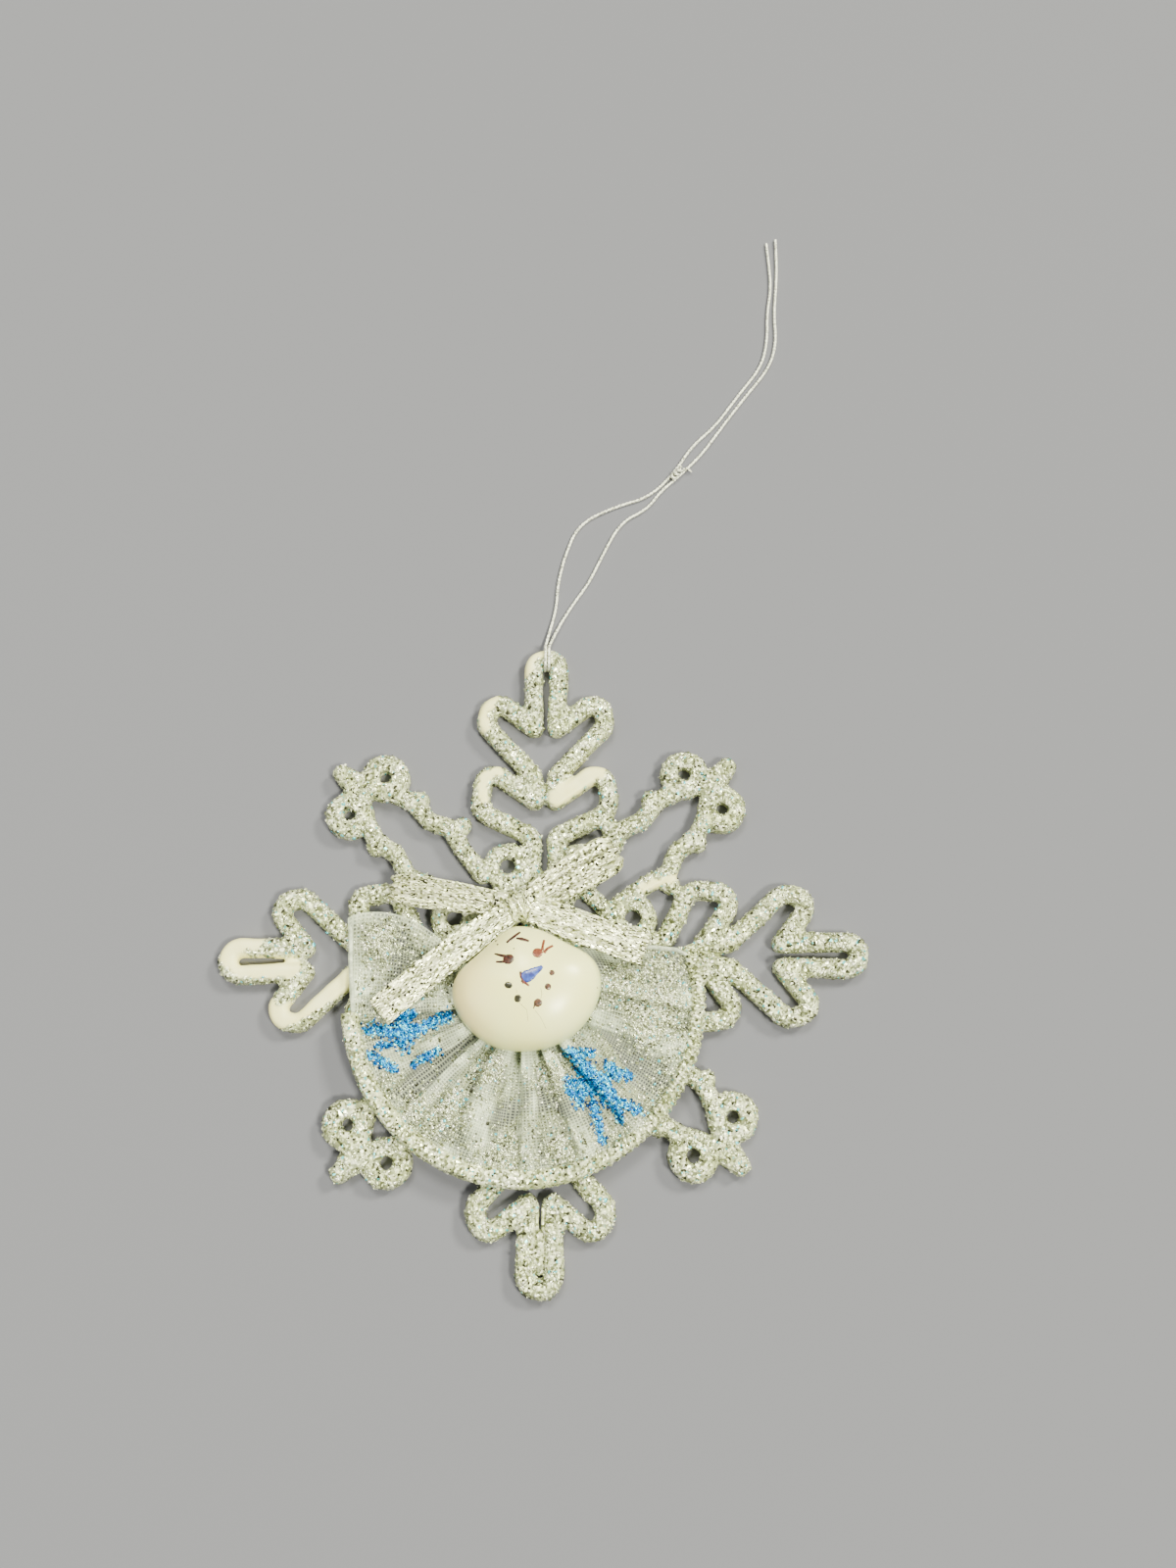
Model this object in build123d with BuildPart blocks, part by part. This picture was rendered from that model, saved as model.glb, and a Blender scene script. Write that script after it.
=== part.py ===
"""Glittered snowflake ornament with a painted shell head, organza ruffle, ribbon bow and hanging thread.

The ornament lies face up.  The snowflake is in the XY plane with its flat back on Z = 0 and its
centre on the Z axis, +Y runs to the arm that carries the thread, and +Z comes out of the face.
All lengths are in millimetres.
"""
import os
from math import atan2, cos, degrees, pi, radians, sin, tan

from build123d import *

os.makedirs("parts", exist_ok=True)

# ---------------------------------------------------------------- snowflake moulding
arm_reach = 57.5            # centre to the tip of each long arm
bead_width = 3.4            # width of the moulded line that draws the long arms
frame_height = 3.0          # thickness of the moulding
edge_round = 1.2            # rounding of the front edges
slot_width = 1.5            # clear gap inside the tip of a long arm
west_arm_lean = 1.3         # degrees that the left arm turns towards the ruffle
short_bead_width = 3.2      # width of the moulded line of the short arms
short_arm_tip = 51.6        # centre to the spear point of a short arm
ring_reach = 43.4           # centre to the small rings of a short arm, along the arm
ring_offset = 4.7           # from the arm's middle to each small ring
ring_radius = 4.4
ring_hole_radius = 1.2
spear_base_width = 6.0
spear_tip_width = 2.8
spear_tip_round = 1.3
short_arm_leans = {135: 3.2, 45: 1.0, 225: 2.5, 315: -1.6}     # degrees, by each arm's direction
short_arm_shifts = {135: 0.0, 45: -1.9, 225: 0.6, 315: -0.6}   # outwards along each arm
eyelet_count = 8
eyelet_circle_radius = 17.2
eyelet_radius = 4.3
eyelet_hole_radius = 1.5
hub_radius = 6.5
hub_ring_radius = 13.6
hub_ring_width = 2.8
spoke_width = 3.0
groove_width = 1.7          # relief across the back of the top bar, where the thread passes
groove_depth = 0.75

# ---------------------------------------------------------------- organza ruffle
ruffle_x = -3.1
ruffle_y = -8.0
ruffle_radius = 31.1        # out to the outside of the hem
ruffle_gather_radius = 7.5
ruffle_height = 2.4
ruffle_start = 18.0         # degrees, right end of the fan
ruffle_end = 185.0          # degrees, where the hem's round stretch ends on the left
ruffle_corner = (-34.4, 6.0)
hem_width = 1.6
seam_gap = 0.1
gather_thread_diameter = 0.5

# ---------------------------------------------------------------- shell head
shell_x = -2.6
shell_y = -6.35
shell_width = 25.8
shell_length = 21.6
shell_height = 7.0
shell_wall = 1.3
shell_turn = 8.0            # degrees, anticlockwise
shell_gap = 0.2             # rim above the ruffle
shell_glue_margin = 1.6     # from the glue's edge to the shell's hollow, each side

# ---------------------------------------------------------------- ribbon bow
ribbon_width = 6.35
ribbon_thickness = 0.35
knot_x = -4.2
knot_y = 8.1
knot_radius = 3.2
knot_height = 2.7
knot_gap = 0.15             # from the knot to each loop and tail
bow_glue_height = 0.5
bow_glue_radius = 1.9
loop_height = 2.1
tail_lift = 0.3             # tails above the ruffle
left_loop = (171.3, 23.4)   # direction in degrees and reach from the knot
right_loop = (30.5, 19.6)
left_tail = (219.6, 30.0)
right_tail = (-19.1, 23.0)
left_tail_inner_edge = 1.675    # sideways from the knot's middle to the edge next to the shell
right_tail_inner_edge = -2.475

# ---------------------------------------------------------------- hanging thread
thread_diameter = 0.6
thread_clearance = 0.08     # between the hitch and the bar that it holds
hitch_x = 0.1
swing_gap = 0.15            # between the hitch and the two strands that swing on it
thread_gap = 0.12           # least gap between the two strands
thread_start_z = 1.0
thread_knot_length = 4.4
thread_knot_diameter = 1.7
thread_knot_middle = (25.1, 95.0)
thread_knot_turn = 47.0     # degrees

frame_top = frame_height
ruffle_top = frame_top + ruffle_height
rest_z = thread_diameter / 2
half_pitch = (thread_diameter + thread_gap) / 2


def plane_at(turn, x=0.0, y=0.0, z=0.0):
    """XY plane at a height, turned about Z."""
    direction = (cos(radians(turn)), sin(radians(turn)), 0)
    return Plane(origin=(x, y, z), x_dir=direction, z_dir=(0, 0, 1))


def bead(points, radii, width):
    """A flat line of the given width, with round ends and rounded corners."""
    with BuildSketch(mode=Mode.PRIVATE) as stroke:
        with BuildLine():
            FilletPolyline(*points, radius=radii)
            offset(amount=width / 2, kind=Kind.ARC, mode=Mode.REPLACE)
        make_face()
    return stroke.sketch


def mirrored(points):
    return [(-x, y) for x, y in points]


# ================================================================ snowflake_frame
half_slot = (slot_width + bead_width) / 2
tip_line = arm_reach - bead_width / 2
tip_bend = 0.9 * half_slot
inner_lobe = [(2.5, 14.5), (2.1, 21.4), (11.9, 26.2), (11.0, 34.9), (1.9, 28.3)]
outer_lobe = [inner_lobe[-1], (2.1, 33.0), (11.2, 42.7), (10.0, 48.3), (2.1, 42.2)]
tip_loop = [
    outer_lobe[-1],
    (half_slot, tip_line),
    (-half_slot, tip_line),
    mirrored(outer_lobe)[-1],
]
short_side = [(3.4, 18.0), (4.4, 24.0), (5.9, 27.8), (4.2, 32.0), (4.9, 36.4), (3.2, 41.2)]
short_knobs = [(7.6, 26.8), (5.9, 35.8)]
inner_bends = [1.8, 3.0, 2.2]       # centre-line radii at the corners between the ends of each run
outer_bends = [2.2, 2.2, 2.2]
short_bends = [2.0, 2.0, 2.0, 2.0]


def moulding(outline):
    """The outline at the frame's height, with its front edges rounded."""
    with BuildPart() as piece:
        add(outline)
        extrude(amount=frame_height)
        fillet(piece.faces().sort_by(Axis.Z)[-1].edges(), edge_round)
    return piece.part


def disc(radius, x=0.0, y=0.0):
    with BuildSketch(mode=Mode.PRIVATE) as round_face:
        with Locations((x, y)):
            Circle(radius)
    return round_face.sketch


with BuildPart() as long_arm:
    for lobe, radii in ((inner_lobe, inner_bends), (outer_lobe, outer_bends)):
        add(moulding(bead(lobe, radii, bead_width)))
        add(moulding(bead(mirrored(lobe), radii, bead_width)))
    add(moulding(bead(tip_loop, [tip_bend, tip_bend], bead_width)))

with BuildSketch() as spear:
    with BuildLine():
        Polyline(
            (spear_base_width / 2, ring_reach),
            (spear_tip_width / 2, short_arm_tip),
            (-spear_tip_width / 2, short_arm_tip),
            (-spear_base_width / 2, ring_reach),
            close=True,
        )
    make_face()
    fillet(spear.vertices().group_by(Axis.Y)[-1], spear_tip_round)

with BuildPart() as short_arm:
    for side in (short_side, mirrored(short_side)):
        add(moulding(bead(side, short_bends, short_bead_width)))
    for knob in (*short_knobs, *mirrored(short_knobs)):
        add(moulding(disc(short_bead_width / 2, *knob)))
    add(moulding(spear.sketch))
    for side in (1, -1):
        add(moulding(disc(ring_radius, side * ring_offset, ring_reach)))
    with BuildSketch():
        with Locations((ring_offset, ring_reach), (-ring_offset, ring_reach)):
            Circle(ring_hole_radius)
    extrude(amount=frame_height, mode=Mode.SUBTRACT)

spoke_reach = eyelet_circle_radius - eyelet_radius / 2
with BuildSketch() as hub_ring:
    Circle(hub_ring_radius + hub_ring_width / 2)
    Circle(hub_ring_radius - hub_ring_width / 2, mode=Mode.SUBTRACT)
with BuildSketch() as spokes:
    with PolarLocations(spoke_reach / 2, eyelet_count, start_angle=180 / eyelet_count):
        Rectangle(spoke_reach, spoke_width)

with BuildPart() as snowflake_frame:
    add(moulding(hub_ring.sketch))
    add(moulding(spokes.sketch))
    add(moulding(disc(hub_radius)))
    with PolarLocations(eyelet_circle_radius, eyelet_count, start_angle=180 / eyelet_count):
        add(moulding(disc(eyelet_radius)))
    for turn in (0, 90 + west_arm_lean, 180, 270):
        add(long_arm.part, rotation=(0, 0, turn))
    for axis, lean in short_arm_leans.items():
        outwards = radians(axis + lean)
        with Locations((short_arm_shifts[axis] * cos(outwards), short_arm_shifts[axis] * sin(outwards))):
            add(short_arm.part, rotation=(0, 0, axis - 90 + lean))
    with BuildSketch():
        with PolarLocations(eyelet_circle_radius, eyelet_count, start_angle=180 / eyelet_count):
            Circle(eyelet_hole_radius)
    extrude(amount=frame_height, mode=Mode.SUBTRACT)
    with BuildSketch():
        with Locations((hitch_x, tip_line)):
            Rectangle(groove_width, 2 * bead_width)
    extrude(amount=groove_depth, mode=Mode.SUBTRACT)
snowflake_frame.part.label = "snowflake_frame"
export_step(snowflake_frame.part, "parts/snowflake_frame.step")

# ================================================================ ruffle and its threads
hem_line = ruffle_radius - hem_width / 2
fabric_radius = ruffle_radius - hem_width - seam_gap
fan_turn = 180 - degrees(atan2(ruffle_corner[1] - ruffle_y, ruffle_x - ruffle_corner[0]))


def fan_point(radius, turn):
    return (ruffle_x + radius * cos(radians(turn)), ruffle_y + radius * sin(radians(turn)))


hem_end = fan_point(fabric_radius, ruffle_end)
with BuildPart() as ruffle:
    with BuildSketch(Plane.XY.offset(frame_top)):
        with BuildLine():
            CenterArc((ruffle_x, ruffle_y), fabric_radius, ruffle_end, 360 + ruffle_start - ruffle_end)
            Line(fan_point(fabric_radius, ruffle_start), fan_point(ruffle_gather_radius, ruffle_start))
            CenterArc((ruffle_x, ruffle_y), ruffle_gather_radius, ruffle_start, fan_turn - 360 - ruffle_start)
            Line(fan_point(ruffle_gather_radius, fan_turn), ruffle_corner)
            Line(ruffle_corner, hem_end)
        make_face()
    extrude(amount=ruffle_height)
ruffle.part.label = "ruffle"
export_step(ruffle.part, "parts/ruffle.step")


def arc_tube(radius, diameter, start, end, z):
    """A round thread along an arc about the ruffle's centre."""
    with BuildPart() as tube:
        with BuildLine():
            path = CenterArc((ruffle_x, ruffle_y, z), radius, start, end - start)
        with BuildSketch(Plane(origin=path @ 0, z_dir=path % 0)):
            Circle(diameter / 2)
        sweep()
    return tube.part


mid_ruffle = frame_top + ruffle_height / 2
ruffle_hem = arc_tube(hem_line, hem_width, ruffle_end, 360 + ruffle_start, mid_ruffle)
ruffle_hem.label = "ruffle_hem"
export_step(ruffle_hem, "parts/ruffle_hem.step")

gather_line = ruffle_gather_radius - seam_gap - gather_thread_diameter / 2
gathering_thread = arc_tube(gather_line, gather_thread_diameter, fan_turn, 360 + ruffle_start, mid_ruffle)
gathering_thread.label = "gathering_thread"
export_step(gathering_thread, "parts/gathering_thread.step")

with BuildPart() as ruffle_glue:
    with BuildSketch(Plane.XY.offset(frame_top)):
        with Locations((ruffle_x, ruffle_y)):
            Circle(gather_line - gather_thread_diameter / 2 - seam_gap)
    extrude(amount=ruffle_height)
ruffle_glue.part.label = "ruffle_glue"
export_step(ruffle_glue.part, "parts/ruffle_glue.step")

# ================================================================ shell_head and shell_glue
shell_outline = [
    (0, 1.0), (0.27, 0.90), (0.64, 0.60), (0.93, 0.31), (1.0, 0.0), (0.87, -0.46), (0.50, -0.87),
]
dome_levels = [(0.0, 1.0), (0.22, 0.985), (0.5, 0.90), (0.75, 0.72), (0.92, 0.46), (1.0, 0.16)]


def shell_dome(width, length, height, base_z):
    """A domed solid over the clam outline: each level is the outline drawn in by its share."""
    outline = shell_outline + [(0, -1.0)] + [(-x, y) for x, y in shell_outline[:0:-1]]
    with BuildPart() as dome:
        for rise, share in dome_levels:
            level = [(x * share * width / 2, y * share * length / 2) for x, y in outline]
            with BuildSketch(plane_at(shell_turn, shell_x, shell_y, base_z + rise * height)):
                with BuildLine():
                    Spline(*level, periodic=True)
                make_face()
        loft()
    return dome.part


rim_z = ruffle_top + shell_gap
hollow = [shell_width - 2 * shell_wall, shell_length - 2 * shell_wall, shell_height - shell_wall]
with BuildPart() as shell_head:
    add(shell_dome(shell_width, shell_length, shell_height, rim_z))
    add(shell_dome(*hollow, rim_z), mode=Mode.SUBTRACT)
shell_head.part.label = "shell_head"
export_step(shell_head.part, "parts/shell_head.step")

glue_width, glue_length = (size - 2 * shell_glue_margin for size in hollow[:2])
shell_glue = shell_dome(glue_width, glue_length, hollow[2] + shell_gap / 2, ruffle_top)
shell_glue.label = "shell_glue"
export_step(shell_glue, "parts/shell_glue.step")

# ================================================================ bow
bow_base = frame_top + bow_glue_height
with BuildPart() as bow_glue:
    with BuildSketch(Plane.XY.offset(frame_top)):
        with Locations((knot_x, knot_y)):
            Circle(bow_glue_radius)
    extrude(amount=bow_glue_height)
bow_glue.part.label = "bow_glue"
export_step(bow_glue.part, "parts/bow_glue.step")

with BuildPart() as bow_knot:
    with BuildSketch(Plane.XY.offset(bow_base)):
        with Locations((knot_x, knot_y)):
            Circle(knot_radius)
    extrude(amount=knot_height)
    fillet(bow_knot.faces().sort_by(Axis.Z)[-1].edges(), ribbon_thickness)
bow_knot.part.label = "bow_knot"
export_step(bow_knot.part, "parts/bow_knot.step")

ribbon_start = knot_radius + knot_gap


def bow_loop(turn, reach):
    """A flattened loop of ribbon standing out from the knot."""
    length = reach - ribbon_start
    middle = ribbon_start + length / 2
    along = (cos(radians(turn)), sin(radians(turn)), 0)
    across = (sin(radians(turn)), -cos(radians(turn)), 0)
    origin = (knot_x + middle * along[0], knot_y + middle * along[1], bow_base + loop_height / 2)
    with BuildPart() as loop:
        with BuildSketch(Plane(origin=origin, x_dir=along, z_dir=across)):
            SlotOverall(length, loop_height)
            inner = (length - 2 * ribbon_thickness, loop_height - 2 * ribbon_thickness)
            SlotOverall(*inner, mode=Mode.SUBTRACT)
        extrude(amount=ribbon_width / 2, both=True)
    return loop.part


def bow_tail(turn, reach, shift):
    """A flat end of ribbon that lies over the ruffle."""
    with BuildPart() as tail:
        with BuildSketch(plane_at(turn, knot_x, knot_y, ruffle_top + tail_lift)):
            with Locations(((ribbon_start + reach) / 2, shift)):
                Rectangle(reach - ribbon_start, ribbon_width)
        extrude(amount=ribbon_thickness)
    return tail.part


left_tail_shift = left_tail_inner_edge - ribbon_width / 2
right_tail_shift = right_tail_inner_edge + ribbon_width / 2
bow_pieces = {
    "bow_left_loop": bow_loop(*left_loop),
    "bow_right_loop": bow_loop(*right_loop),
    "bow_left_tail": bow_tail(*left_tail, left_tail_shift),
    "bow_right_tail": bow_tail(*right_tail, right_tail_shift),
}
for name, piece in bow_pieces.items():
    piece.label = name
    export_step(piece, f"parts/{name}.step")

# ================================================================ hanging thread
hitch_offset = thread_clearance + thread_diameter / 2
hitch_length = bead_width + 2 * hitch_offset
hitch_bottom = groove_depth - hitch_offset
hitch_top = frame_top + hitch_offset
hitch_height = hitch_top - hitch_bottom
hitch_origin = (hitch_x, tip_line, (hitch_top + hitch_bottom) / 2)
with BuildPart() as thread_hitch:
    with BuildSketch(Plane(origin=hitch_origin, x_dir=(0, 1, 0), z_dir=(1, 0, 0))):
        RectangleRounded(hitch_length + thread_diameter, hitch_height + thread_diameter, thread_diameter)
        RectangleRounded(
            hitch_length - thread_diameter,
            hitch_height - thread_diameter,
            thread_diameter / 4,
            mode=Mode.SUBTRACT,
        )
    extrude(amount=thread_diameter / 2, both=True)
thread_hitch.part.label = "thread_hitch"
export_step(thread_hitch.part, "parts/thread_hitch.step")

swing_y = tip_line + hitch_length / 2 + thread_diameter + swing_gap
left_strand = [
    (hitch_x - half_pitch, swing_y, thread_start_z),
    (0.5, 61.8, 0.45),
    (1.7, 66.5, rest_z),
    (2.0, 72.0, rest_z),
    (3.4, 78.0, rest_z),
    (6.0, 84.4, rest_z),
    (13.0, 88.0, rest_z),
    (19.6, 90.0, rest_z),
    (24.6, 95.2, rest_z),
    (28.2, 101.2, rest_z),
    (33.0, 105.6, rest_z),
    (37.6, 112.4, rest_z),
    (42.6, 119.0, rest_z),
    (43.9, 125.4, rest_z),
    (44.0, 131.0, rest_z),
    (45.0, 137.0, rest_z),
    (44.8, 142.6, rest_z),
    (44.4, 147.8, rest_z),
]
right_strand = [
    (hitch_x + half_pitch, swing_y, thread_start_z),
    (1.7, 61.8, 0.45),
    (4.3, 66.6, rest_z),
    (8.0, 72.0, rest_z),
    (10.5, 77.6, rest_z),
    (14.0, 84.6, rest_z),
    (19.2, 87.4, rest_z),
    (22.0, 91.4, rest_z),
    (25.6, 94.6, rest_z),
    (30.2, 99.4, rest_z),
    (34.2, 105.3, rest_z),
    (38.8, 111.8, rest_z),
    (44.2, 118.8, rest_z),
    (45.7, 124.8, rest_z),
    (45.4, 130.8, rest_z),
    (46.0, 136.8, rest_z),
    (46.4, 142.8, rest_z),
    (46.3, 148.7, rest_z),
]


def bend_radii(points):
    """The largest arc at each corner that its two runs allow."""
    radii = []
    for before, corner, after in zip(points, points[1:], points[2:]):
        run_in = Vector(*corner) - Vector(*before)
        run_out = Vector(*after) - Vector(*corner)
        turn = radians(run_in.get_angle(run_out))
        radii.append(0.45 * min(run_in.length, run_out.length) / tan(turn / 2))
    return radii


def strand(name, points):
    radii = bend_radii(points)
    with BuildPart() as tube:
        with BuildLine():
            path = FilletPolyline(*points, radius=radii)
        with BuildSketch(Plane(origin=path @ 0, z_dir=path % 0)):
            Circle(thread_diameter / 2)
        sweep()
    tube.part.label = name
    export_step(tube.part, f"parts/{name}.step")
    expected = path.length * pi * thread_diameter ** 2 / 4
    print(f"{name}: length {path.length:.1f}, volume {tube.part.volume:.2f} of {expected:.2f}")
    print("  radii", " ".join(f"{radius:.1f}" for radius in radii))


strand("thread_left", left_strand)
strand("thread_right", right_strand)

with BuildPart() as thread_knot:
    with BuildSketch(plane_at(thread_knot_turn, *thread_knot_middle, thread_knot_diameter / 2)) as knot_half:
        SlotOverall(thread_knot_length, thread_knot_diameter)
        with Locations((0, -thread_knot_diameter / 2)):
            Rectangle(thread_knot_length, thread_knot_diameter, mode=Mode.SUBTRACT)
    revolve(axis=Axis((*thread_knot_middle, thread_knot_diameter / 2), knot_half.workplanes[0].x_dir))
thread_knot.part.label = "thread_knot"
export_step(thread_knot.part, "parts/thread_knot.step")
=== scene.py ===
"""Looks of the glittered snowflake ornament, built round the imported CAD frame.

Everything is in metres in the CAD frame: the ornament lies face up on Z = 0, +Y runs to the arm
that carries the thread.  Lengths below are written in millimetres and scaled once by MM.
"""
import math

import bpy
import numpy as np
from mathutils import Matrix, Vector, noise
from mathutils.bvhtree import BVHTree


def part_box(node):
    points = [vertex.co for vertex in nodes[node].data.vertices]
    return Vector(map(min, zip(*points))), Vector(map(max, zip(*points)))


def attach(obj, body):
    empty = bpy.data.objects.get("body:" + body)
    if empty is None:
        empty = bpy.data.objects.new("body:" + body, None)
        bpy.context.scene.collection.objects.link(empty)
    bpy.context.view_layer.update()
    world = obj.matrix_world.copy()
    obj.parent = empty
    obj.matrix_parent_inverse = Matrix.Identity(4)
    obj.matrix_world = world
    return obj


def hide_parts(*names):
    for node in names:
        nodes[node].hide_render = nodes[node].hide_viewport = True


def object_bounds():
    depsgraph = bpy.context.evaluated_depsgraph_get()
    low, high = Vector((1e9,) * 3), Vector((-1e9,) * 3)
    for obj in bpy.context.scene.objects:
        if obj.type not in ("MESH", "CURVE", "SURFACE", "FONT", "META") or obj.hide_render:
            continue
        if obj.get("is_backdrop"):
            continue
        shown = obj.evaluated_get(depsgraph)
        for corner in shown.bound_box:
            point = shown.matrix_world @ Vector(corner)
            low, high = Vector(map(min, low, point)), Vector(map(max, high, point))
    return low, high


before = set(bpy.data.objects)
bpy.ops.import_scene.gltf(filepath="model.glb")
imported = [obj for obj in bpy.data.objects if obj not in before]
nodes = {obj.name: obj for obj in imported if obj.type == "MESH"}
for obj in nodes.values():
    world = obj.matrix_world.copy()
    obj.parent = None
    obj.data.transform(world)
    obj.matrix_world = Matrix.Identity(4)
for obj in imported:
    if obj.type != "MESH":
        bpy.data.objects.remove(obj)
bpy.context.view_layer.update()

MM = 0.001
SEED = 20
rng = np.random.default_rng(SEED)
scene = bpy.context.scene


# ------------------------------------------------------------------ camera
camera = bpy.data.objects.new("camera", bpy.data.cameras.new("camera"))
scene.collection.objects.link(camera)
camera.location = (0.009855, -0.036305, 0.24371)
camera.rotation_euler = (0.27288, 0.00752, 0.00252)
camera.data.lens = 31.5
camera.data.sensor_width = 36.0
camera.data.clip_start = 0.01
scene.camera = camera


# ------------------------------------------------------------------ mesh helpers
def add_mesh(name, verts, faces, smooth=True):
    mesh = bpy.data.meshes.new(name)
    mesh.from_pydata([tuple(v) for v in verts], [], faces)
    mesh.polygons.foreach_set("use_smooth", [smooth] * len(mesh.polygons))
    mesh.update()
    obj = bpy.data.objects.new(name, mesh)
    scene.collection.objects.link(obj)
    return obj


def dress(obj, material, body="ornament", replaces=()):
    """Gives a new piece its material, its body and the CAD nodes it stands for."""
    obj.data.materials.clear()
    obj.data.materials.append(material)
    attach(obj, body)
    if replaces:
        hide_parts(*replaces)
    return obj


def applied(obj):
    """The object with its modifiers made part of its mesh."""
    shown = obj.evaluated_get(bpy.context.evaluated_depsgraph_get())
    mesh = bpy.data.meshes.new_from_object(shown)
    obj.modifiers.clear()
    obj.data = mesh
    return obj


def grid_faces(rows, columns, closed=False):
    """Quads of a grid whose points run column by column in each row."""
    steps = columns if closed else columns - 1
    faces = []
    for row in range(rows - 1):
        for column in range(steps):
            after = (column + 1) % columns
            here, there = row * columns, (row + 1) * columns
            faces.append((here + column, here + after, there + after, there + column))
    return faces


def set_uv(obj, points):
    """A UV map named strip, from one (u, v) pair per vertex, in metres of cloth."""
    layer = obj.data.uv_layers.new(name="strip")
    index = np.zeros(len(obj.data.loops), int)
    obj.data.loops.foreach_get("vertex_index", index)
    layer.data.foreach_set("uv", np.asarray(points, np.float32)[index].ravel())


def set_value(obj, name, values):
    """A float attribute per vertex."""
    attribute = obj.data.attributes.new(name, "FLOAT", "POINT")
    attribute.data.foreach_set("value", np.asarray(values, np.float32))


def path_frames(line):
    """Side and up directions along a line, without twist."""
    line = np.asarray(line, float)
    tangents = np.gradient(line, axis=0)
    tangents /= np.linalg.norm(tangents, axis=1)[:, None]
    side = np.cross(tangents[0], (0, 0, 1))
    if np.linalg.norm(side) < 1e-6:
        side = np.array((1.0, 0, 0))
    sides = []
    for tangent in tangents:
        side = side - tangent * side.dot(tangent)
        side /= np.linalg.norm(side)
        sides.append(side.copy())
    sides = np.array(sides)
    return sides, np.cross(sides, tangents)


def tube(name, line, radius, around=10, closed=False):
    """A tube along a line; radius(i, angle) gives the radius at ring i."""
    line = np.asarray(line, float)
    sides, ups = path_frames(line)
    verts = []
    for i, centre in enumerate(line):
        for k in range(around):
            angle = 2 * math.pi * k / around
            r = radius(i, angle)
            verts.append(centre + r * (math.cos(angle) * sides[i] + math.sin(angle) * ups[i]))
    faces = grid_faces(len(line), around, closed=True)
    last = (len(line) - 1) * around
    if closed:
        faces += [(last + k, last + (k + 1) % around, (k + 1) % around, k) for k in range(around)]
    else:
        faces.append(tuple(reversed(range(around))))
        faces.append(tuple(last + k for k in range(around)))
    return add_mesh(name, verts, faces)


def evenly(line, step):
    """Points at even distances along a line."""
    line = np.asarray(line, float)
    along = np.r_[0, np.cumsum(np.linalg.norm(np.diff(line, axis=0), axis=1))]
    count = max(2, int(round(along[-1] / step)) + 1)
    wanted = np.linspace(0, along[-1], count)
    return np.stack([np.interp(wanted, along, line[:, k]) for k in range(3)], axis=1)


def nurbs_line(points):
    """The smooth line of a NURBS route given in metres."""
    curve = bpy.data.curves.new("route", "CURVE")
    curve.dimensions = "3D"
    curve.resolution_u = 24
    spline = curve.splines.new("NURBS")
    spline.points.add(len(points) - 1)
    for point, place in zip(spline.points, points):
        point.co = (*place, 1.0)
    spline.order_u = 3
    spline.use_endpoint_u = True
    holder = bpy.data.objects.new("route", curve)
    scene.collection.objects.link(holder)
    mesh = bpy.data.meshes.new_from_object(holder)
    line = np.array([v.co for v in mesh.vertices], float)
    bpy.data.objects.remove(holder)
    bpy.data.meshes.remove(mesh)
    return line


def tree_of(obj):
    mesh = obj.data
    return BVHTree.FromPolygons([v.co for v in mesh.vertices], [tuple(p.vertices) for p in mesh.polygons])


def scatter(obj, count, weight=None, up=-0.1):
    """Random points on a mesh's faces that look upwards, with their normals, by area and weight."""
    mesh = obj.data
    mesh.calc_loop_triangles()
    co = np.array([v.co for v in mesh.vertices], float)
    corners = np.array([t.vertices[:] for t in mesh.loop_triangles])
    a, b, c = co[corners[:, 0]], co[corners[:, 1]], co[corners[:, 2]]
    cross = np.cross(b - a, c - a)
    size = np.linalg.norm(cross, axis=1) + 1e-15
    normals = cross / size[:, None]
    share = size * (normals[:, 2] > up)
    if weight is not None:
        share = share * weight((a + b + c) / 3)
    picked = rng.choice(len(share), count, p=share / share.sum())
    u, v = rng.random(count), rng.random(count)
    over = u + v > 1
    u[over], v[over] = 1 - u[over], 1 - v[over]
    places = a[picked] + u[:, None] * (b - a)[picked] + v[:, None] * (c - a)[picked]
    return places, normals[picked]


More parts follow.
